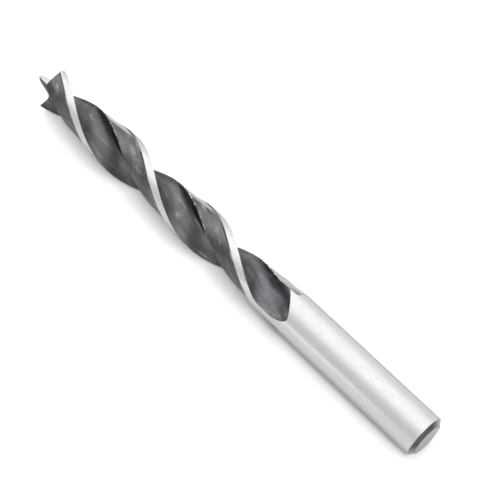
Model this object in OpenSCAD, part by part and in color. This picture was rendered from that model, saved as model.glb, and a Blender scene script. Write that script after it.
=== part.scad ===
/* [Overall] */
// Cutting diameter, measured over the margins at the spurs
cut_d = 10; // [7:0.5:14]
// Length from the centre point to the end of the shank
overall_l = 120; // [105:0.5:150]

/* [Shank] */
// How much thinner the plain round shank is than the cutting diameter
shank_less = 0; // [0:0.1:3]
// Width of the chamfer on the shank end, measured across the axis
chamfer_w = 1.25; // [0.4:0.05:2]
// Length of the chamfer on the shank end, measured along the axis
chamfer_l = 0.85; // [0.3:0.05:2]

/* [Flutes] */
// Distance from the centre point to the end of the flutes
flute_l = 82.2; // [60:0.1:95]
// Length in which a flute makes one whole turn
lead = 52.3; // [40:0.1:75]
// Thickness of the web between the two flutes
web_t = 2.8; // [2.5:0.1:3.4]
// Angle that one land takes, from its leading edge to its heel
land_a = 78; // [65:1:95]
// How far the heel lies under the cutting diameter
heel_drop = 1; // [0.7:0.05:1.4]
// Width of the flat that breaks the heel
heel_w = 0.2; // [0.15:0.05:0.5]
// How far the flute wall under the heel leans away from a line to the axis
wall_a = 5; // [0:1:15]
// Angle from the heel to the place where the flute comes nearest to the axis
hook_a = 38; // [30:1:50]
// How much narrower the margins are at the end of the flutes than at the spurs
back_taper = 0.05; // [0.02:0.01:0.2]

/* [Margins] */
// Width of the ground margin behind each leading edge
margin_w = 1.8; // [1:0.05:2.6]
// Height of the step from the margin down to the body clearance
margin_h = 0.4; // [0.2:0.05:0.6]
// Width of that step, which slopes down from the margin
step_w = 0.35; // [0.1:0.05:0.6]
// How far the body clearance bulges over a straight line from step to heel
clearance_crown = 0.4; // [0.2:0.05:0.6]

/* [Flute run-out] */
// Length over which the flutes rise out of the bar
runout_l = 10; // [6:0.5:14]
// Straight length at the end of the flutes, where they no longer turn
straight_l = 8.2; // [4:0.2:12]
// How much sooner a flute ends at its heel side than at its far end
flute_skew = 4.3; // [1:0.1:5]
// Length of the rounded corner that ends a flute on its leading side
corner_l = 5; // [2:0.2:7]
// How much sooner than the flute the body clearance ends at the heel
clearance_skew = 2.2; // [0.5:0.1:4]

/* [Point] */
// How far the centre point stands in front of the two spurs
point_l = 4.25; // [3:0.05:5.5]
// Diameter at the root of the centre point
point_d = 2.4; // [1.4:0.1:2.5]
// Length of the centre point down to that root
point_root_l = 2.6; // [1.6:0.1:2.9]
// How far the spurs stand in front of the inner end of the cutting lips
spur_h = 0.8; // [0.2:0.05:1.2]
// Diameter at which the cutting lips meet the centre point
lip_in_d = 4.6; // [3.6:0.1:5.4]
// How far the end of each land falls away behind its cutting lip
lip_relief = 0.12; // [0.05:0.01:0.4]

/* [Rest] */
// How far the bit is rolled about its own axis as it lies
roll_a = 5.8; // [0:0.1:179]

/* [Hidden] */

cut_r = cut_d / 2;
shank_r = cut_r - shank_less / 2;
web_r = web_t / 2;
point_r = point_d / 2;
lip_in_r = lip_in_d / 2;
heel_r = cut_r - heel_drop;
// Radius on which the bar closes again behind the flutes
close_r = cut_r - back_taper / 2;
deg_per_mm = 180 / (PI * cut_r);
margin_a = margin_w * deg_per_mm;
step_a = step_w * deg_per_mm;
step_r = cut_r - margin_h;
// Where the run-out begins, and where the twist fades out
runout_t = flute_l - runout_l;
twist_t = flute_l - straight_l;
twist_fade = 1.5;
// The plain shank begins this far behind the flutes
shank_t = flute_l + 0.5;
// How deep the fluted body reaches into the shank, where the two are one
root_in = 1;

// Facets: spacing of the rings along the body, and points over each surface
ring_step = 1.2;
margin_n = 3;
clearance_n = 6;
flute_n = 16;
runout_n = 14;

function mix(a, b, x) = a + (b - a) * x;
function polar(r, a) = [r * cos(a), r * sin(a)];
// Angle of a point of the section, counted from the leading edge of its land
function turn_of(p) = let (a = atan2(p[1], p[0])) a < -90 ? a + 360 : a;

// The body clearance is an arc from the foot of the step to the heel
foot = polar(step_r, margin_a + step_a);
heel = polar(heel_r, land_a);
chord = heel - foot;
outward = [chord[1], -chord[0]] / norm(chord);
function clearance_point(x) = foot + chord * x + outward * clearance_crown * 4 * x * (1 - x);

// The flute is hooked. From the broken heel its wall runs almost straight
// towards the axis and rounds off in a parabola, until it touches the circle of
// the web. From there one large arc leads out to the leading edge of the next
// land.
heel_flat = heel_w / sqrt(2);
heel_in_a = land_a + heel_flat / heel_r * 180 / PI;
web_a = heel_in_a + hook_a;
heel_in = polar(heel_r - heel_flat, heel_in_a);
web_in = polar(web_r, web_a);
lead_in = [-cut_r, 0];
wall = polar(1, heel_in_a + 180 + wall_a);
floor_way = polar(1, web_a + 90);
// The two tangents of the parabola meet here
span = web_in - heel_in;
wall_l = (span[0] * floor_way[1] - span[1] * floor_way[0])
    / (wall[0] * floor_way[1] - wall[1] * floor_way[0]);
hook = heel_in + wall * wall_l;
// The large arc touches the web's circle and ends on the leading edge
reach = web_in - lead_in;
arc_r = -(reach * reach) / (2 * (polar(1, web_a) * reach));
arc_c = web_in + polar(arc_r, web_a);
to_a = atan2(lead_in[1] - arc_c[1], lead_in[0] - arc_c[0]) + 360;
// Share of the points that lie on the parabola
hook_x = 0.5;
function parabola(x) = heel_in * pow(1 - x, 2) + hook * 2 * x * (1 - x) + web_in * x * x;
function large_arc(x) = arc_c + polar(arc_r, mix(web_a + 180, to_a, x));
function flute_point(x) = x < hook_x ? parabola(x / hook_x) : large_arc((x - hook_x) / (1 - hook_x));

// At the end of a flute its heel side stops first. The far end lies at this
// share of the width, and from there a quarter of an ellipse leads back.
peak_x = 0.7;
function corner(x) = 1 - sqrt(max(0, 1 - x * x));
function flute_stop(x) = x < peak_x
    ? flute_l - flute_skew * pow(1 - x / peak_x, 1.3)
    : flute_l - corner_l * corner((x - peak_x) / (1 - peak_x));
function clearance_stop(x) = flute_l - clearance_skew * mix(0.5, 1, x * x);

// The angle of the heel where the flute has come out of the bar
exit_a = land_a + 10;

// The ridge of the heel rises out of the bar evenly, all else starts slowly
function rise(from_heel) = mix(0.9, 2, min(1, from_heel));

// One land and one flute as columns of [radius, angle, angle and place of the
// column where the run-out ends, power of its rise]. The other half is the
// same, turned by 180.
half_section = concat(
    [for (i = [0 : margin_n]) let (a = margin_a * i / margin_n) [cut_r, a, a, flute_l, 2]],
    [for (i = [0 : clearance_n]) let (x = i / clearance_n, p = clearance_point(x))
        [norm(p), turn_of(p), mix(margin_a + step_a, exit_a, x), clearance_stop(x), rise(1 - x)]],
    [for (i = [0 : flute_n - 1]) let (x = i / flute_n, p = flute_point(x))
        [norm(p), turn_of(p), mix(exit_a + 1, 180, x), flute_stop(x), rise(2.5 * x)]]
);
half_n = len(half_section);
col_n = 2 * half_n;
function column(i) = half_section[i % half_n];
function half_turn(i) = i < half_n ? 0 : 180;

// The angle of the leading edge at a place along the bit. The twist is even up
// to the run-out, where it fades out and the flutes run on straight.
function even_t(t) = t < twist_t - twist_fade ? t
    : t > twist_t + twist_fade ? twist_t
    : twist_t - pow(twist_t + twist_fade - t, 2) / (4 * twist_fade);
function lead_a(t) = roll_a + 360 / lead * even_t(t);
function at(r, a, t) = [r * cos(a), r * sin(a), t];
// The margins taper a little towards the shank
function taper(r, t) = r * mix(1, close_r / cut_r, min(1, t / flute_l));

// The end of the bit as a height over the section. From the centre it is a
// four-sided point, a hollow down to the inner end of the lips, and lips that
// rise to the spurs. Behind each lip the end falls away.
function squared(r, a) = r * mix(abs(cos(a)) + abs(sin(a)) / 0.9, 1, min(1, pow(r / lip_in_r, 2)));
lip_in_t = point_l + spur_h;
function core_end(r) = r < point_r
    ? point_root_l * pow(r / point_r, 2.4)
    : mix(point_root_l, lip_in_t, 1 - pow(1 - min(1, (r - point_r) / (lip_in_r - point_r)), 2));
function lip_end(r) = mix(lip_in_t, point_l, (r - lip_in_r) / (cut_r - lip_in_r));
function end_t(r, a) = (r < lip_in_r ? core_end(min(lip_in_r, squared(r, a))) : lip_end(r))
    + lip_relief * r / cut_r * abs(sin(a));

// Radii of the rings over the end, for a column whose edge lies at radius r
function lip_ring_r(r) = min(lip_in_r, mix(point_r, r, 0.7));
function end_radii(r) = concat(
    [for (x = [0.3, 0.6, 0.85, 1]) point_r * x],
    [for (x = [0.2, 0.45, 0.7, 1]) mix(point_r, lip_ring_r(r), x)],
    [for (x = [0.5]) mix(lip_ring_r(r), r, x)]
);
end_n = len(end_radii(cut_r));

// The rings of the whole fluted body, from the centre point to the shank
edge_t = [for (i = [0 : col_n - 1]) end_t(column(i)[0], column(i)[1])];
body_n = ceil((runout_t - point_l) / ring_step);
end_rings = [for (k = [0 : end_n - 1]) [for (i = [0 : col_n - 1])
    let (c = column(i), r = end_radii(c[0])[k])
    at(r, lead_a(edge_t[i]) + half_turn(i) + c[1], end_t(r, c[1]))]];
body_rings = [for (k = [0 : body_n]) [for (i = [0 : col_n - 1])
    let (c = column(i), t = mix(edge_t[i], runout_t, k / body_n))
    at(taper(c[0], t), lead_a(t) + half_turn(i) + c[1], t)]];
runout_rings = [for (k = [1 : runout_n]) [for (i = [0 : col_n - 1])
    let (c = column(i), e = k / runout_n, t = mix(runout_t, c[3], e), x = pow(e, c[4]))
    at(taper(mix(c[0], cut_r, x), t), lead_a(t) + half_turn(i) + mix(c[1], c[2], x), t)]];
close_ring = [for (i = [0 : col_n - 1])
    at(close_r, lead_a(flute_l) + half_turn(i) + column(i)[2], shank_t + root_in)];
rings = concat(end_rings, body_rings, runout_rings, [close_ring]);
ring_n = len(rings);

module fluted_body() {
    points = concat([[0, 0, 0]], [for (ring = rings) each ring], [[0, 0, shank_t + root_in]]);
    function id(k, i) = 1 + k * col_n + i % col_n;
    last = len(points) - 1;
    polyhedron(
        points = points,
        faces = concat(
            [for (i = [0 : col_n - 1]) [0, id(0, i), id(0, i + 1)]],
            [for (k = [0 : ring_n - 2]) for (i = [0 : col_n - 1])
                [id(k, i), id(k + 1, i), id(k + 1, i + 1)]],
            [for (k = [0 : ring_n - 2]) for (i = [0 : col_n - 1])
                [id(k, i), id(k + 1, i + 1), id(k, i + 1)]],
            [for (i = [0 : col_n - 1]) [last, id(ring_n - 1, i + 1), id(ring_n - 1, i)]]
        ),
        convexity = 8
    );
}

module shank() {
    rotate_extrude($fn = 96)
        polygon([
            [0, shank_t],
            [shank_r, shank_t],
            [shank_r, overall_l - chamfer_l],
            [shank_r - chamfer_w, overall_l],
            [0, overall_l]
        ]);
}

// The bit lies along X with its point towards -X
module drill_bit() {
    color("silver")
        translate([-overall_l / 2, 0, cut_r])
        rotate([90, 0, 90]) {
            fluted_body();
            shank();
        }
}

drill_bit();
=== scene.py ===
"""A brad point drill bit for wood, lying on its side.

One solid of steel: centre point, two cutting lips with spurs, two helical flutes
with ground margins, the run-out of the flutes, and a plain shank with a chamfer.
The bit lies along X with its point towards -X. Lengths are in metres, angles in
degrees.
"""
import math

import bpy
import numpy as np
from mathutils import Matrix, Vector


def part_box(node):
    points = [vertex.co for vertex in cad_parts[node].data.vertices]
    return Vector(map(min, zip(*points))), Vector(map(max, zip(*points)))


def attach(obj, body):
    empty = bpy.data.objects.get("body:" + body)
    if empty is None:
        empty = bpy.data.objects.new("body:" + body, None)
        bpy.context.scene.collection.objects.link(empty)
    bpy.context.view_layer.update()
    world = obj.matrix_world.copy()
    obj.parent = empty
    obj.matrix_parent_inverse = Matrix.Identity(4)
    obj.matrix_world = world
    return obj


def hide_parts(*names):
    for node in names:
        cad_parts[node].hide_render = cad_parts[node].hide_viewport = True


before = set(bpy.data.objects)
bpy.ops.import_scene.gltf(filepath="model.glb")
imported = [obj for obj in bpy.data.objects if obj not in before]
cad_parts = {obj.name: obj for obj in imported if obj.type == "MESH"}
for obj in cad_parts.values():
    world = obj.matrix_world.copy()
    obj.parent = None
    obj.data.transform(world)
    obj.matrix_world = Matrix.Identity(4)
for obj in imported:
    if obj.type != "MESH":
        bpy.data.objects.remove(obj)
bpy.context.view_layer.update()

MM = 0.001
LOW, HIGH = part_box("drill_bit")

# Driving sizes of the bit
LENGTH = HIGH.x - LOW.x
CUT_R = (HIGH.z - LOW.z) / 2
SHANK_R = CUT_R
CHAMFER_W = 1.25 * MM
CHAMFER_L = 0.85 * MM
FLUTE_L = 82.2 * MM
LEAD = 52.3 * MM
WEB_R = 1.4 * MM
LAND_A = 78
HEEL_R = CUT_R - 1 * MM
HEEL_W = 0.2 * MM
WALL_A = 5
HOOK_A = 38
BACK_TAPER = 0.05 * MM
MARGIN_W = 1.8 * MM
MARGIN_H = 0.4 * MM
STEP_W = 0.35 * MM
CLEARANCE_CROWN = 0.4 * MM
RUNOUT_L = 10 * MM
STRAIGHT_L = 8.2 * MM
FLUTE_SKEW = 4.3 * MM
CORNER_L = 5 * MM
CLEARANCE_SKEW = 2.2 * MM
POINT_L = 4.25 * MM
POINT_R = 1.2 * MM
POINT_ROOT_L = 2.6 * MM
SPUR_H = 0.8 * MM
LIP_IN_R = 2.3 * MM
LIP_RELIEF = 0.12 * MM
ROLL_A = 5.8

# Places and angles that follow from them
MARGIN_A = math.degrees(MARGIN_W / CUT_R)
STEP_A = math.degrees(STEP_W / CUT_R)
STEP_R = CUT_R - MARGIN_H
CLOSE_R = CUT_R - BACK_TAPER / 2
RUNOUT_T = FLUTE_L - RUNOUT_L
TWIST_T = FLUTE_L - STRAIGHT_L
TWIST_FADE = 1.5 * MM
EXIT_A = LAND_A + 10
FLUTE_A = LAND_A + 2
PEAK_X = 0.7
SLANT_POWER = 1.3
LIP_IN_T = POINT_L + SPUR_H
SHANK_T = FLUTE_L + 0.5 * MM
REGAIN_L = 8 * MM
POINT_WIDTH = 0.9
POINT_POWER = 2.4

# Smooth shading stops at edges sharper than this angle
SHARP_A = 28
# The distance that the attribute edge gives to all that lies far from an edge
FAR_OFF = 5 * MM

# The kinds of surface, in the order of the bit's materials
SURFACES = ["ground_steel", "dark_flute", "dark_clearance", "worn_edge", "ground_point",
            "dark_chamfer", "end_face"]
GROUND, FLUTE, CLEARANCE, WORN, POINT, CHAMFER, END = range(7)


def mix(a, b, x):
    return a + (b - a) * x


def polar(r, a):
    return np.stack([r * np.cos(np.radians(a)), r * np.sin(np.radians(a))], -1)


def even_travel(t):
    """The twist follows the length up to the run-out. There its rate falls off
    evenly over twice TWIST_FADE, and the flutes then run on straight."""
    fading = TWIST_T - (TWIST_T + TWIST_FADE - t) ** 2 / (4 * TWIST_FADE)
    return np.where(t < TWIST_T - TWIST_FADE, t, np.where(t > TWIST_T + TWIST_FADE, TWIST_T, fading))


def lead_angle(t):
    """Angle of the leading edge of the first land at distance t from the centre point."""
    return ROLL_A + 360 / LEAD * even_travel(t)


def clearance_arc(x):
    """The body clearance: a line from the foot of the margin's step to the heel,
    raised by a parabola whose top is CLEARANCE_CROWN."""
    foot, heel = polar(STEP_R, MARGIN_A + STEP_A), polar(HEEL_R, LAND_A)
    chord = heel - foot
    outward = np.array([chord[1], -chord[0]]) / np.linalg.norm(chord)
    return foot + np.outer(x, chord) + np.outer(CLEARANCE_CROWN * 4 * x * (1 - x), outward)


def flute_arc(x):
    """The flute is hooked. Over the first half of x its wall is a parabola from the
    broken heel to the circle of the web, given by the tangents at both ends, which meet
    at hook. Over the second half it is the arc that touches the web's circle at web_in
    and ends on the next leading edge. With n, the direction from the axis to web_in, its
    radius is -|reach|^2 / (2 reach . n)."""
    flat = HEEL_W / math.sqrt(2)
    heel_a = LAND_A + math.degrees(flat / HEEL_R)
    web_a = heel_a + HOOK_A
    heel, web_in, lead_in = polar(HEEL_R - flat, heel_a), polar(WEB_R, web_a), np.array([-CUT_R, 0])
    wall, along = polar(1, heel_a + 180 + WALL_A), polar(1, web_a + 90)
    span, reach = web_in - heel, web_in - lead_in
    wall_l = (span[0] * along[1] - span[1] * along[0]) / (wall[0] * along[1] - wall[1] * along[0])
    hook = heel + wall * wall_l
    radius = -(reach @ reach) / (2 * polar(1, web_a) @ reach)
    centre = web_in + polar(radius, web_a)
    stop = math.degrees(math.atan2(*(lead_in - centre)[::-1])) + 360
    s, e = np.clip(2 * x, 0, 1)[:, None], np.clip(2 * x - 1, 0, 1)
    parabola = heel * (1 - s) ** 2 + hook * 2 * s * (1 - s) + web_in * s * s
    return np.where(x[:, None] < 0.5, parabola, centre + polar(radius, mix(web_a + 180, stop, e)))


def flute_stop(x):
    """Where the flute ends, over its width x from heel side to leading side: a slant
    that levels off at PEAK_X, then a quarter of an ellipse that comes back."""
    slant = FLUTE_L - FLUTE_SKEW * np.clip(1 - x / PEAK_X, 0, 1) ** SLANT_POWER
    back = np.clip((x - PEAK_X) / (1 - PEAK_X), 0, 1)
    return np.where(x < PEAK_X, slant, FLUTE_L - CORNER_L * (1 - np.sqrt(1 - back ** 2)))


def clearance_stop(x):
    """Where the body clearance ends, from the margin to the heel."""
    return FLUTE_L - CLEARANCE_SKEW * mix(0.5, 1, x * x)


def rise(from_heel):
    """The power with which a column rises out of the bar: the ridge of the heel rises
    evenly, all else starts slowly."""
    return mix(0.9, 2, np.minimum(1, from_heel))


def polar_of(p):
    angle = np.degrees(np.arctan2(p[:, 1], p[:, 0]))
    return np.hypot(p[:, 0], p[:, 1]), np.where(angle < -90, angle + 360, angle)


def section_columns(margin_n=8, clearance_n=26, flute_n=64):
    """The section as columns round the axis: radius, angle, the angle and the place at
    which each one has come out of the bar, the power of its rise, its share of the width
    of the flute or the clearance, and the kind of the strip that begins there. One land
    and one flute are worked out, and the other half is the same, turned by 180."""
    x = np.arange(margin_n + 1) / margin_n
    parts = [(np.full_like(x, CUT_R), MARGIN_A * x, MARGIN_A * x, np.full_like(x, FLUTE_L),
              np.full_like(x, 2), np.where(x > 0, 0.0, 1.0), np.where(x < 1, GROUND, CLEARANCE))]
    x = np.arange(clearance_n + 1) / clearance_n
    r, a = polar_of(clearance_arc(x))
    parts.append((r, a, mix(MARGIN_A + STEP_A, EXIT_A, x), clearance_stop(x), rise(1 - x),
                  x, np.where(x < 1, CLEARANCE, WORN)))
    x = np.arange(flute_n) / flute_n
    r, a = polar_of(flute_arc(x))
    parts.append((r, a, mix(EXIT_A + 1, 180, x), flute_stop(x), rise(2.5 * x),
                  x, np.full_like(x, FLUTE)))
    r, a, out, stop, power, share, kind = [np.concatenate(c) for c in zip(*parts)]
    return (np.tile(r, 2), np.concatenate([a, a + 180]), np.concatenate([out, out + 180]),
            np.tile(stop, 2), np.tile(power, 2), np.tile(share, 2), np.tile(kind, 2).astype(int))


def taper(r, t):
    """The margins taper by BACK_TAPER towards the shank."""
    return r * mix(1, CLOSE_R / CUT_R, np.minimum(1, t / FLUTE_L))


def end_height(r, a):
    """The end of the bit as a height over the section. Up to POINT_R it is a point with
    four faces, whose squared radius is |x| + |y| / POINT_WIDTH, and its slopes are hollow
    by POINT_POWER. A hollow then leads down to the inner end of the lips, and the lips
    rise in a straight line to the spurs. Behind each lip the end falls away with the sine
    of the angle."""
    c, s = np.abs(np.cos(np.radians(a))), np.abs(np.sin(np.radians(a)))
    rounding = np.minimum(1, (r / LIP_IN_R) ** 2)
    squared = np.minimum(LIP_IN_R, r * mix(c + s / POINT_WIDTH, 1, rounding))
    point = POINT_ROOT_L * (squared / POINT_R) ** POINT_POWER
    x = np.clip((squared - POINT_R) / (LIP_IN_R - POINT_R), 0, 1)
    hollow = mix(POINT_ROOT_L, LIP_IN_T, 1 - (1 - x) ** 2)
    lip = mix(LIP_IN_T, POINT_L, (r - LIP_IN_R) / (CUT_R - LIP_IN_R))
    core = np.where(squared < POINT_R, point, hollow)
    return np.where(r < LIP_IN_R, core, lip) + LIP_RELIEF * r / CUT_R * s


def end_radii(r, point_n=14, hollow_n=16, lip_n=12):
    """Radii of the rings over the end, for columns whose edge lies at radius r: over the
    point, over the hollow, and over the lips."""
    lip_in = np.minimum(LIP_IN_R, mix(POINT_R, r, 0.7))
    rows = [POINT_R * x + 0 * r for x in np.arange(1, point_n + 1) / point_n]
    rows += [mix(POINT_R, lip_in, x) for x in np.arange(1, hollow_n + 1) / hollow_n]
    rows += [mix(lip_in, r, x) for x in np.arange(1, lip_n) / lip_n]
    return np.stack(rows)


def bit_rings(body_n=260, runout_n=60, face_n=13):
    """Every ring of the bit, from the centre point to the end face, as arrays of radius,
    angle and place, with the kind of the band between each ring and the next."""
    r0, a0, out, stop, power, _, kind = section_columns()
    edge = end_height(r0, a0)
    point_kind = np.where(a0 % 180 > FLUTE_A, FLUTE, POINT)
    rings = []

    def add(r, a, t, band):
        rings.append((r + 0 * r0, a + 0 * r0, t + 0 * r0, band + 0 * kind))

    for r in end_radii(r0):
        add(r, lead_angle(edge) + a0, end_height(r, a0), point_kind)
    for k in range(body_n + 1):
        t = mix(edge, RUNOUT_T, k / body_n)
        add(taper(r0, t), lead_angle(t) + a0, t, kind)
    for k in range(1, runout_n + 1):
        e = k / runout_n
        t = mix(RUNOUT_T, stop, e)
        add(taper(mix(r0, CUT_R, e ** power), t), lead_angle(t) + mix(a0, out, e ** power), t,
            kind if k < runout_n else GROUND)
    turned = lead_angle(FLUTE_L) + out
    for t, r in shank_profile():
        add(r, turned, t, GROUND if t < LENGTH - CHAMFER_L - 0.01 * MM else CHAMFER)
    for r in np.linspace(SHANK_R - CHAMFER_W, 0, face_n + 1)[:-1]:
        add(r, turned, LENGTH, END)
    return [np.stack(c) for c in zip(*rings)]


def shank_profile(ring_gap=2 * MM, edge_r=0.12 * MM, round_n=6):
    """Place and radius along the shank: over REGAIN_L back from the margins' taper, plain
    up to the chamfer, and both edges of the chamfer broken by a small round."""
    start = LENGTH - CHAMFER_L
    plain = np.arange(SHANK_T, start - 2 * edge_r, ring_gap)
    rows = [(FLUTE_L + 0.25 * MM, CLOSE_R)]
    rows += [(t, mix(CLOSE_R, SHANK_R, min(1, (t - FLUTE_L) / REGAIN_L))) for t in plain]
    cone = np.array([[start, SHANK_R], [LENGTH, SHANK_R - CHAMFER_W]])
    along = (cone[1] - cone[0]) / np.linalg.norm(cone[1] - cone[0])
    before, after = np.array([1, 0]), np.array([0, -1])
    for corner, come, go in ((cone[0], before, along), (cone[1], along, after)):
        for x in np.linspace(0, 1, round_n):
            p = corner - come * edge_r * (1 - x) ** 2 + go * edge_r * x ** 2
            rows.append((p[0], p[1]))
    return rows


def edge_distance(r, a, t, kind):
    """Distance of each vertex from the nearest column at which the kind of strip changes,
    along its ring, in millimetres. Over the end it is the distance from the rim."""
    y, z = r * np.cos(np.radians(a)), r * np.sin(np.radians(a))
    step = np.hypot(np.roll(y, -1, 1) - y, np.roll(z, -1, 1) - z)
    body = section_columns()[-1]
    corner = np.flatnonzero(body != np.roll(body, 1))
    run = np.concatenate([np.zeros((len(r), 1)), np.cumsum(step, 1)], 1)
    around = run[:, -1:]
    gap = np.abs(run[:, :-1, None] - run[:, corner][:, None, :])
    gap = np.minimum(gap, around[..., None] - gap).min(-1)
    end_n = len(end_radii(np.array([CUT_R])))
    gap[:end_n] = np.minimum(gap[:end_n], np.abs(r[end_n] - r[:end_n]) + 0 * gap[:end_n])
    gap[t > FLUTE_L] = FAR_OFF
    return gap / MM


def bit_mesh(name):
    """The skin of the whole bit. Rings and columns make the faces, and one vertex closes
    each end. The attribute bar holds each vertex's place in the bar before it was twisted,
    so that a grain on it follows the flutes. The attribute edge holds its distance from
    the nearest ground edge, in millimetres, and across its share of the width of the
    flute, from the heel, or of the body clearance, from the margin."""
    r, a, t, kind = bit_rings()
    ring_n, col_n = r.shape
    x = t - LENGTH / 2
    y, z = r * np.cos(np.radians(a)), r * np.sin(np.radians(a)) + CUT_R
    points = np.stack([x, y, z], -1).reshape(-1, 3)
    low, high = np.array([[-LENGTH / 2, 0, CUT_R]]), np.array([[LENGTH / 2, 0, CUT_R]])
    points = np.concatenate([points, low, high])

    i, k = np.meshgrid(np.arange(col_n), np.arange(ring_n - 1))
    j = (i + 1) % col_n
    quads = np.stack([k * col_n + i, k * col_n + j, (k + 1) * col_n + j, (k + 1) * col_n + i], -1)
    band = kind[:-1]
    first, last = ring_n * col_n, ring_n * col_n + 1
    i = np.arange(col_n)
    j = (i + 1) % col_n
    cap_low = np.stack([j, i, np.full(col_n, first)], -1)
    last_ring = (ring_n - 1) * col_n
    cap_high = np.stack([last_ring + i, last_ring + j, np.full(col_n, last)], -1)
    faces = quads[..., ::-1].reshape(-1, 4).tolist()
    faces += cap_low[:, ::-1].tolist() + cap_high[:, ::-1].tolist()

    mesh = bpy.data.meshes.new(name)
    mesh.from_pydata(points.tolist(), [], faces)
    kinds = np.concatenate([band.reshape(-1), np.full(col_n, POINT), np.full(col_n, END)])
    mesh.polygons.foreach_set("material_index", kinds.astype(np.int32))

    untwisted = a - lead_angle(t)
    bar = np.stack([t, r * np.cos(np.radians(untwisted)), r * np.sin(np.radians(untwisted))], -1)
    bar = np.concatenate([bar.reshape(-1, 3), [[0, 0, 0], [LENGTH, 0, 0]]])
    mesh.attributes.new("bar", "FLOAT_VECTOR", "POINT").data.foreach_set(
        "vector", bar.astype(np.float32).ravel())
    away = np.concatenate([edge_distance(r, a, t, kind).ravel(), [1, FAR_OFF / MM]])
    mesh.attributes.new("edge", "FLOAT", "POINT").data.foreach_set(
        "value", away.astype(np.float32))
    across = np.concatenate([np.tile(section_columns()[-2], ring_n), [0.5, 0.5]])
    mesh.attributes.new("across", "FLOAT", "POINT").data.foreach_set(
        "value", across.astype(np.float32))
    mesh.update()
    mesh.shade_smooth()
    mesh.set_sharp_from_angle(angle=math.radians(SHARP_A))
    return mesh


def node_maker(tree):
    """Short hands for a node tree: make a node, and join two sockets."""
    def make(kind, **values):
        node = tree.nodes.new(kind)
        for key, value in values.items():
            setattr(node, key, value)
        return node

    return make, tree.links.new


def shared_group(name, outputs, inputs=()):
    """An empty shader group with the given varying outputs and inputs."""
    group = bpy.data.node_groups.new(name, "ShaderNodeTree")
    group.interface.new_socket("Place", in_out="INPUT", socket_type="NodeSocketVector")
    for label in inputs:
        group.interface.new_socket(label, in_out="INPUT", socket_type="NodeSocketFloat")
    for label, kind in outputs:
        group.interface.new_socket(label, in_out="OUTPUT", socket_type=kind)
    make, join = node_maker(group)
    return group, make, join, make("NodeGroupInput"), make("NodeGroupOutput")


def scaled(make, join, place, scale):
    """Stretch a place: a large scale makes a pattern fine in that direction."""
    node = make("ShaderNodeMapping")
    node.inputs["Scale"].default_value = scale
    join(place, node.inputs["Vector"])
    return node.outputs[0]


def noise(make, join, place, detail, roughness, seed):
    node = make("ShaderNodeTexNoise", noise_dimensions="4D")
    node.inputs["W"].default_value = seed
    node.inputs["Scale"].default_value = 1.0
    node.inputs["Detail"].default_value = detail
    node.inputs["Roughness"].default_value = roughness
    join(place, node.inputs["Vector"])
    return node.outputs["Fac"]


def spread(make, join, value, low, high, to_low=0.0, to_high=1.0, smooth=True):
    """Map a value from low..high to to_low..to_high, and hold it at both ends."""
    node = make("ShaderNodeMapRange", interpolation_type="SMOOTHSTEP" if smooth else "LINEAR")
    numbers = {"From Min": low, "From Max": high, "To Min": to_low, "To Max": to_high}
    for socket, number in numbers.items():
        node.inputs[socket].default_value = number
    join(value, node.inputs["Value"])
    return node.outputs[0]


def sums(make, join, operation, first, second):
    """A sum of two sockets, or of a socket and a number."""
    node = make("ShaderNodeMath", operation=operation)
    for socket, value in zip(node.inputs, (first, second)):
        if isinstance(value, (int, float)):
            socket.default_value = value
        else:
            join(value, socket)
    return node.outputs[0]


def blend(make, join, factor, first, second, blend_type="MIX"):
    """Mix two colours, each of them a socket or three numbers."""
    node = make("ShaderNodeMix", data_type="RGBA", blend_type=blend_type)
    if isinstance(factor, float):
        node.inputs["Factor"].default_value = factor
    else:
        join(factor, node.inputs["Factor"])
    for socket, value in ((node.inputs[6], first), (node.inputs[7], second)):
        if isinstance(value, tuple):
            socket.default_value = (*value, 1)
        else:
            join(value, socket)
    return node.outputs[2]


def curve(make, join, value, rows):
    """A smooth curve through the colours in rows, each of them at its own value."""
    node = make("ShaderNodeValToRGB")
    node.color_ramp.interpolation = "EASE"
    points = node.color_ramp.elements
    while len(points) < len(rows):
        points.new(0.5)
    for point, (position, colour) in zip(points, rows):
        point.position = position
        point.color = (*colour, 1)
    join(value, node.inputs[0])
    return node.outputs["Color"]


def grinding_group(name, scale, seed):
    """Lines of a grinding wheel: noise that is stretched along the lines, in two widths,
    with broad soft bands of more and less pressure over them. Fine is a noise of the same
    kind, too narrow to be seen as lines."""
    group, make, join, given, result = shared_group(
        name, [(label, "NodeSocketFloat") for label in ("Fine", "Lines", "Bands")])

    def stretched(factor, offset, detail, roughness, shift):
        place = scaled(make, join, given.outputs["Place"], [factor * x + offset for x in scale])
        return noise(make, join, place, detail, roughness, seed + shift)

    join(stretched(5, 0, 3, 0.6, 5), result.inputs["Fine"])
    narrow, wide = stretched(1, 0, 3, 0.7, 0), stretched(0.3, 0, 2, 0.5, 3)
    lines = sums(make, join, "ADD", sums(make, join, "MULTIPLY", narrow, 0.65),
                 sums(make, join, "MULTIPLY", wide, 0.35))
    join(spread(make, join, lines, 0.3, 0.7, smooth=False), result.inputs["Lines"])
    bands = stretched(0.04, 60, 3, 0.6, 7)
    join(spread(make, join, bands, 0.3, 0.7, smooth=False), result.inputs["Bands"])
    return group


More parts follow.
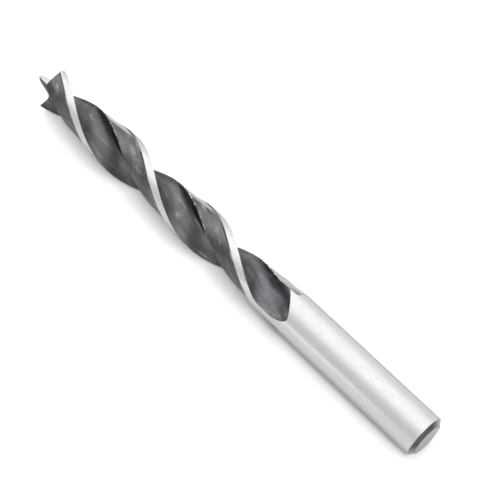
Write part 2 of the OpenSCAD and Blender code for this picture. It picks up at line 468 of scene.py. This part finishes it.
def scuff_group():
    """Marks of use and handling on the dark ground surfaces: long pale rubs along the
    flute, cloudy patches, and small pits."""
    group, make, join, given, result = shared_group(
        "scuffs", [(label, "NodeSocketFloat") for label in ("Rubs", "Clouds", "Pits")])

    def mark(scale, detail, roughness, seed, low, high):
        place = scaled(make, join, given.outputs["Place"], scale)
        return spread(make, join, noise(make, join, place, detail, roughness, seed), low, high)

    rubs = mark((170, 900, 900), 5, 0.62, 2.0, 0.5, 0.72)
    broken = mark((330, 330, 330), 3, 0.6, 5.0, 0.42, 0.62)
    join(sums(make, join, "MULTIPLY", rubs, broken), result.inputs["Rubs"])
    join(mark((120, 330, 330), 4, 0.65, 9.0, 0.3, 0.7), result.inputs["Clouds"])
    join(mark((1500, 2600, 2600), 2, 0.5, 4.0, 0.6, 0.74), result.inputs["Pits"])
    return group


def wear_group():
    """Bright wear along the ground edges. It fades over the distance reach, which noise
    changes along the edge from next to nothing to about 0.2 mm, so the wear is broken."""
    group, make, join, given, result = shared_group(
        "edge_wear", [("Wear", "NodeSocketFloat")], ["Edge"])
    place = scaled(make, join, given.outputs["Place"], (800, 800, 800))
    worn = noise(make, join, place, 4, 0.7, 6.0)
    reach = spread(make, join, worn, 0.49, 0.69, 0.003, 0.22, smooth=False)
    share = sums(make, join, "DIVIDE", sums(make, join, "ADD", given.outputs["Edge"], 0.03), reach)
    join(spread(make, join, share, 0.4, 1.0, 1.0, 0.0), result.inputs["Wear"])
    return group


class Surface:
    """A metal, with short hands for the nodes that vary its colour and roughness."""

    def __init__(self, name):
        self.material = bpy.data.materials.new(name)
        self.material.use_nodes = True
        self.make, self.join = node_maker(self.material.node_tree)
        self.shader = self.material.node_tree.nodes["Principled BSDF"]
        self.shader.inputs["Metallic"].default_value = 1.0
        self.place = self.make("ShaderNodeAttribute", attribute_name="bar").outputs["Vector"]
        self.edge = self.make("ShaderNodeAttribute", attribute_name="edge").outputs["Fac"]

    def shared(self, group):
        node = self.make("ShaderNodeGroup", node_tree=group)
        self.join(self.place, node.inputs["Place"])
        if "Edge" in node.inputs:
            self.join(self.edge, node.inputs["Edge"])
        return node.outputs

    def blend(self, factor, first, second):
        return blend(self.make, self.join, factor, first, second)

    def levels(self, colour, place, rows):
        """The colour times a smooth curve through the levels in rows."""
        greys = [(position, (level, level, level)) for position, level in rows]
        shade = curve(self.make, self.join, place, greys)
        return blend(self.make, self.join, 1.0, colour, shade, "MULTIPLY")

    def sums(self, operation, first, second):
        return sums(self.make, self.join, operation, first, second)

    def spread(self, *values, **more):
        return spread(self.make, self.join, *values, **more)

    def colour(self, value):
        self.join(value, self.shader.inputs["Base Color"])

    def roughness(self, value):
        self.join(value, self.shader.inputs["Roughness"])

    def bump(self, height, strength, distance):
        node = self.make("ShaderNodeBump")
        node.inputs["Strength"].default_value = strength
        node.inputs["Distance"].default_value = distance
        self.join(height, node.inputs["Height"])
        self.join(node.outputs[0], self.shader.inputs["Normal"])


def ground_steel(name, round_lines, low, high, rough, haze, flat=1.0):
    """Bright steel with the lines of a grinding wheel, between two tones. The lines lie
    side by side between a polished roughness and a hazy one. Seen at a flat angle the
    steel keeps the share flat of its shine."""
    look = Surface(name)
    lines = look.shared(round_lines)
    shade = look.sums("ADD", look.sums("MULTIPLY", lines["Lines"], 0.45),
                      look.sums("MULTIPLY", lines["Bands"], 0.55))
    look.colour(look.blend(shade, low, high))
    look.roughness(look.spread(lines["Fine"], 0.42, 0.58, rough, haze, smooth=False))
    look.shader.inputs["Specular Tint"].default_value = (flat, flat, flat, 1)
    look.bump(lines["Lines"], 0.04, 0.004 * MM)
    return look.material


def dark_steel(name, ground_lines, scuffs, wear, colours, rough, rub_share, depth=(), length=(),
               sheen=None, bright=(), edge_share=0.3):
    """Dark ground steel. Pale rubs and cloudy patches lie over the lines of the grinding,
    and the ground edges are worn bright by edge_share. The curve depth says how much of
    the colour is left at each share of the width, and the curve length does so at each
    share of the bit's length; on the flute these two curves are painted shade and painted
    highlight. Seen at a flat angle the surface lightens to the colour in sheen, which is a
    painted sheen, between its first two values of facing, and its last value is the share
    of this that is left on the lower sides of the bit. Each row of bright gives two places
    along the bit, between which the finish changes to a colour."""
    look = Surface(name)
    dark, light, rubbed, worn = colours
    lines, marks = look.shared(ground_lines), look.shared(scuffs)
    shade = look.sums("ADD", look.sums("MULTIPLY", lines["Lines"], 0.35),
                      look.sums("MULTIPLY", marks["Clouds"], 0.65))
    body = look.blend(shade, dark, light)
    body = look.blend(look.sums("MULTIPLY", marks["Rubs"], rub_share), body, rubbed)
    body = look.blend(look.sums("MULTIPLY", marks["Pits"], 0.5), body, dark)
    apart = look.make("ShaderNodeSeparateXYZ")
    look.join(look.place, apart.inputs[0])
    along = look.sums("ADD", apart.outputs["X"],
                      look.spread(marks["Clouds"], 0.0, 1.0, -1 * MM, 1 * MM))
    # On the flute this curve is painted shade under the heel and a painted highlight in the middle of
    # the flute.
    if depth:
        across = look.make("ShaderNodeAttribute", attribute_name="across").outputs["Fac"]
        wander = look.spread(marks["Clouds"], 0.0, 1.0, -0.06, 0.06, smooth=False)
        body = look.levels(body, look.sums("ADD", across, wander), depth)
    # On the flute this curve is painted light along the bit: painted shade near the point and a
    # painted highlight towards the shank.
    if length:
        body = look.levels(body, look.spread(along, 0.0, LENGTH, smooth=False), length)
    for start, stop, colour in bright:
        body = look.blend(look.spread(along, start, stop), body, colour)
    # Painted sheen: the colour lightens at a flat angle, and it is mostly kept to the upper sides of
    # the bit.
    if sheen:
        low, high, colour, below = sheen
        facing = look.make("ShaderNodeLayerWeight").outputs["Facing"]
        turn = look.make("ShaderNodeSeparateXYZ")
        look.join(look.make("ShaderNodeTexCoord").outputs["Normal"], turn.inputs[0])
        upper_side_share = look.spread(turn.outputs["Z"], 0.18, 0.34, below, 1.0)
        body = look.blend(look.sums("MULTIPLY", look.spread(facing, low, high), upper_side_share), body, colour)
    edge = look.sums("MULTIPLY", look.shared(wear)["Wear"], edge_share)
    look.colour(look.blend(edge, body, worn))
    grain = look.sums("ADD", look.spread(lines["Lines"], 0.0, 1.0, rough - 0.04, rough + 0.04),
                      look.sums("MULTIPLY", marks["Rubs"], 0.1))
    look.roughness(grain)
    height = look.sums("SUBTRACT", lines["Lines"], marks["Pits"])
    look.bump(height, 0.25, 0.006 * MM)
    return look.material


def build_looks():
    """The materials of the bit, by the names in SURFACES."""
    round_lines = grinding_group("round_grinding", (16000, 260, 260), 1.0)
    along_lines = grinding_group("flute_grinding", (220, 5200, 5200), 11.0)
    point_lines = grinding_group("point_grinding", (6500, 6500, 900), 21.0)
    scuffs, wear = scuff_group(), wear_group()
    flute = ((0.077, 0.081, 0.087), (0.186, 0.193, 0.201), (0.45, 0.45, 0.45), (0.6, 0.6, 0.59))
    clearance = ((0.09, 0.095, 0.102), (0.212, 0.219, 0.227), (0.6, 0.6, 0.59), (0.75, 0.75, 0.74))
    # Painted shade under the heel, a painted highlight in the middle of the flute and a band of
    # painted shade before the leading edge, over the width from the heel.
    flute_painted_shade_and_highlight = ((0, 0.62), (0.24, 0.9), (0.4, 1.02), (0.6, 1.12), (0.8, 0.86), (1, 1.0))
    shallow = ((0, 1.05), (0.3, 0.95), (1, 0.87))
    # Painted light along the flutes: a little painted shade near the point and a painted highlight
    # towards the shank.
    flute_painted_light_along = ((0, 0.92), (0.19, 0.9), (0.3, 1.06), (0.48, 1.06), (0.6, 1.2))
    # Painted sheen on the clearance at flat angles, kept mostly to its upper sides.
    clearance_painted_sheen = (0.48, 0.68, (0.75, 0.75, 0.75), 0.1)
    runout = [(70 * MM, 73 * MM, (0.6, 0.6, 0.6)), (74.5 * MM, 78.5 * MM, (0.32, 0.32, 0.32))]
    return {
        "ground_steel": ground_steel("ground_steel", round_lines, (0.815, 0.817, 0.82),
                                     (0.845, 0.847, 0.85), 0.15, 0.95, 0.3),
        "dark_flute": dark_steel("dark_flute", along_lines, scuffs, wear, flute, 0.3, 0.7,
                                 depth=flute_painted_shade_and_highlight, length=flute_painted_light_along),
        "dark_clearance": dark_steel("dark_clearance", along_lines, scuffs, wear, clearance, 0.33, 1.0,
                                     depth=shallow, sheen=clearance_painted_sheen, bright=runout),
        "worn_edge": dark_steel("worn_edge", along_lines, scuffs, wear, clearance, 0.3, 1.0,
                                edge_share=0.9),
        "ground_point": ground_steel("ground_point", point_lines, (0.52, 0.52, 0.52),
                                     (0.62, 0.62, 0.62), 0.2, 0.4),
        # The chamfer gets a painted sheen at flat angles, on all its sides.
        "dark_chamfer": dark_steel("dark_chamfer", round_lines, scuffs, wear, flute, 0.34, 0.4,
                                   sheen=(0.38, 0.85, (0.7, 0.7, 0.7), 1.0)),
        "end_face": ground_steel("end_face", point_lines, (0.68, 0.68, 0.68), (0.8, 0.8, 0.8),
                                 0.25, 0.45),
    }


def build_bit():
    mesh = bit_mesh("bit")
    bit = bpy.data.objects.new("bit", mesh)
    bpy.context.scene.collection.objects.link(bit)
    looks = build_looks()
    for name in SURFACES:
        mesh.materials.append(looks[name])
    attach(bit, "root")
    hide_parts("drill_bit")
    return bit


def build_floor():
    """A plain pale table. A second diffuse layer is added to it for camera rays, so that
    it reads as white there and still keeps the shadow, and the steel sees a share of that
    layer. The first layer is darker near the bit, which is painted shadow, and the second
    one falls off close alongside the shank, which is a painted contact shadow."""
    half_size = 3.0
    shaded_near_tone, far_tone = (0.44, 0.445, 0.45), (0.62, 0.625, 0.63)
    no_layer, full_layer = (0, 0, 0), (0.97, 0.97, 0.97)
    steel_share = 0.23
    mesh = bpy.data.meshes.new("table")
    corners = [(-half_size, -half_size, 0), (half_size, -half_size, 0),
               (half_size, half_size, 0), (-half_size, half_size, 0)]
    mesh.from_pydata(corners, [], [(0, 1, 2, 3)])
    table = bpy.data.objects.new("table", mesh)
    bpy.context.scene.collection.objects.link(table)
    material = bpy.data.materials.new("pale_table")
    material.use_nodes = True
    material.node_tree.nodes.clear()
    make, join = node_maker(material.node_tree)

    def do(operation, first, second=0):
        return sums(make, join, operation, first, second)

    apart = make("ShaderNodeSeparateXYZ")
    join(make("ShaderNodeTexCoord").outputs["Object"], apart.inputs[0])
    x, y = apart.outputs["X"], apart.outputs["Y"]
    # Painted shadow: the distance from the bit, made shorter on the +Y side so that the painted shadow
    # reaches further there.
    across = do("ADD", do("MULTIPLY", do("MAXIMUM", y), 0.4), do("MINIMUM", y))
    beyond = do("SUBTRACT", do("ABSOLUTE", x), LENGTH / 2)
    past = do("MAXIMUM", beyond)
    away = do("SQRT", do("ADD", do("MULTIPLY", across, across), do("MULTIPLY", past, past)))
    # Painted contact shadow: the second layer fades close alongside the shank.
    close = do("MAXIMUM", do("ABSOLUTE", y), do("ADD", beyond, 6 * MM))
    painted_contact_shadow = do("MULTIPLY", spread(make, join, x, 5 * MM, 19 * MM),
                spread(make, join, close, 3.4 * MM, 5 * MM, 0.7, 0.0))

    path = make("ShaderNodeLightPath").outputs
    rays = do("ADD", path["Is Camera Ray"], do("MULTIPLY", path["Is Glossy Ray"], steel_share))
    # The first layer is darker near the bit: painted shadow.
    painted_shadow_tone = blend(make, join, spread(make, join, away, 4 * MM, 16 * MM), shaded_near_tone, far_tone)
    seen = do("MULTIPLY", rays, do("SUBTRACT", 1, painted_contact_shadow))
    base, layer = make("ShaderNodeBsdfDiffuse"), make("ShaderNodeBsdfDiffuse")
    join(painted_shadow_tone, base.inputs["Color"])
    join(blend(make, join, seen, no_layer, full_layer), layer.inputs["Color"])
    both = make("ShaderNodeAddShader")
    out = make("ShaderNodeOutputMaterial")
    join(base.outputs[0], both.inputs[0])
    join(layer.outputs[0], both.inputs[1])
    join(both.outputs[0], out.inputs["Surface"])
    mesh.materials.append(material)
    return table


def area_lamp(name, place, aim, width, depth, radiance):
    """A rectangular lamp whose surface has the given radiance."""
    data = bpy.data.lights.new(name, "AREA")
    data.shape = "RECTANGLE"
    data.size, data.size_y = width, depth
    data.energy = radiance * math.pi * width * depth
    lamp = bpy.data.objects.new(name, data)
    lamp.location = place
    lamp.rotation_euler = (Vector(aim) - Vector(place)).to_track_quat("-Z", "Y").to_euler()
    bpy.context.scene.collection.objects.link(lamp)
    return lamp


def build_light():
    """Soft studio light. The world is a long white tent over the bit: its brightness
    depends on the angle round the bit's axis, from the +Y side over the top to the -Y
    side. A grey screen dims it low down on the +Y side, except towards the point. One
    faint lamp adds to its brightest part, and a small one lights the -Y side from low
    down."""
    tent = [(0, 0.82), (14, 0.98), (36, 1.38), (60, 1.3), (88, 1.3), (101, 1.16), (112, 0.8),
            (124, 0.54), (146, 0.52), (166, 0.66), (180, 0.68)]
    blue_share = 0.985
    screen_tone = (0.6, 0.6, 0.6)
    world = bpy.data.worlds.new("studio")
    bpy.context.scene.world = world
    world.use_nodes = True
    make, join = node_maker(world.node_tree)
    apart = make("ShaderNodeSeparateXYZ")
    join(make("ShaderNodeTexCoord").outputs["Generated"], apart.inputs[0])
    angle = sums(make, join, "ARCTAN2", apart.outputs["Z"], apart.outputs["Y"])
    rows = [(degrees / 180, (level, level, level * blue_share)) for degrees, level in tent]
    colour = curve(make, join, spread(make, join, angle, 0, math.pi, smooth=False), rows)
    screen = sums(make, join, "MULTIPLY", spread(make, join, apart.outputs["X"], -0.32, -0.05),
                  spread(make, join, angle, math.radians(75), math.radians(25)))
    dimmed = blend(make, join, screen, colour, screen_tone, "MULTIPLY")
    join(dimmed, world.node_tree.nodes["Background"].inputs["Color"])
    area_lamp("overhead", (0, 0.44, 0.6), (0, 0.44, 0), 1.6, 0.84, 0.13)
    area_lamp("side_card", (-0.075, -0.35, 0.066), (0.04, 0, 0.005), 0.1, 0.12, 0.8)


def build_camera():
    """The photo's viewpoint: a long lens that looks down on the bit from the shank end."""
    place = (122.722 * MM, -111.338 * MM, 354.156 * MM)
    heading, elevation = 45.871, 64.645
    data = bpy.data.cameras.new("camera")
    data.sensor_width = 36
    data.lens = 129.6
    data.clip_start, data.clip_end = 0.01, 20
    camera = bpy.data.objects.new("camera", data)
    camera.location = place
    camera.rotation_euler = (math.radians(90 - elevation), 0, math.radians(heading))
    bpy.context.scene.collection.objects.link(camera)
    bpy.context.scene.camera = camera


build_bit()
build_floor()
build_light()
build_camera()
bpy.context.scene.view_settings.view_transform = "Standard"
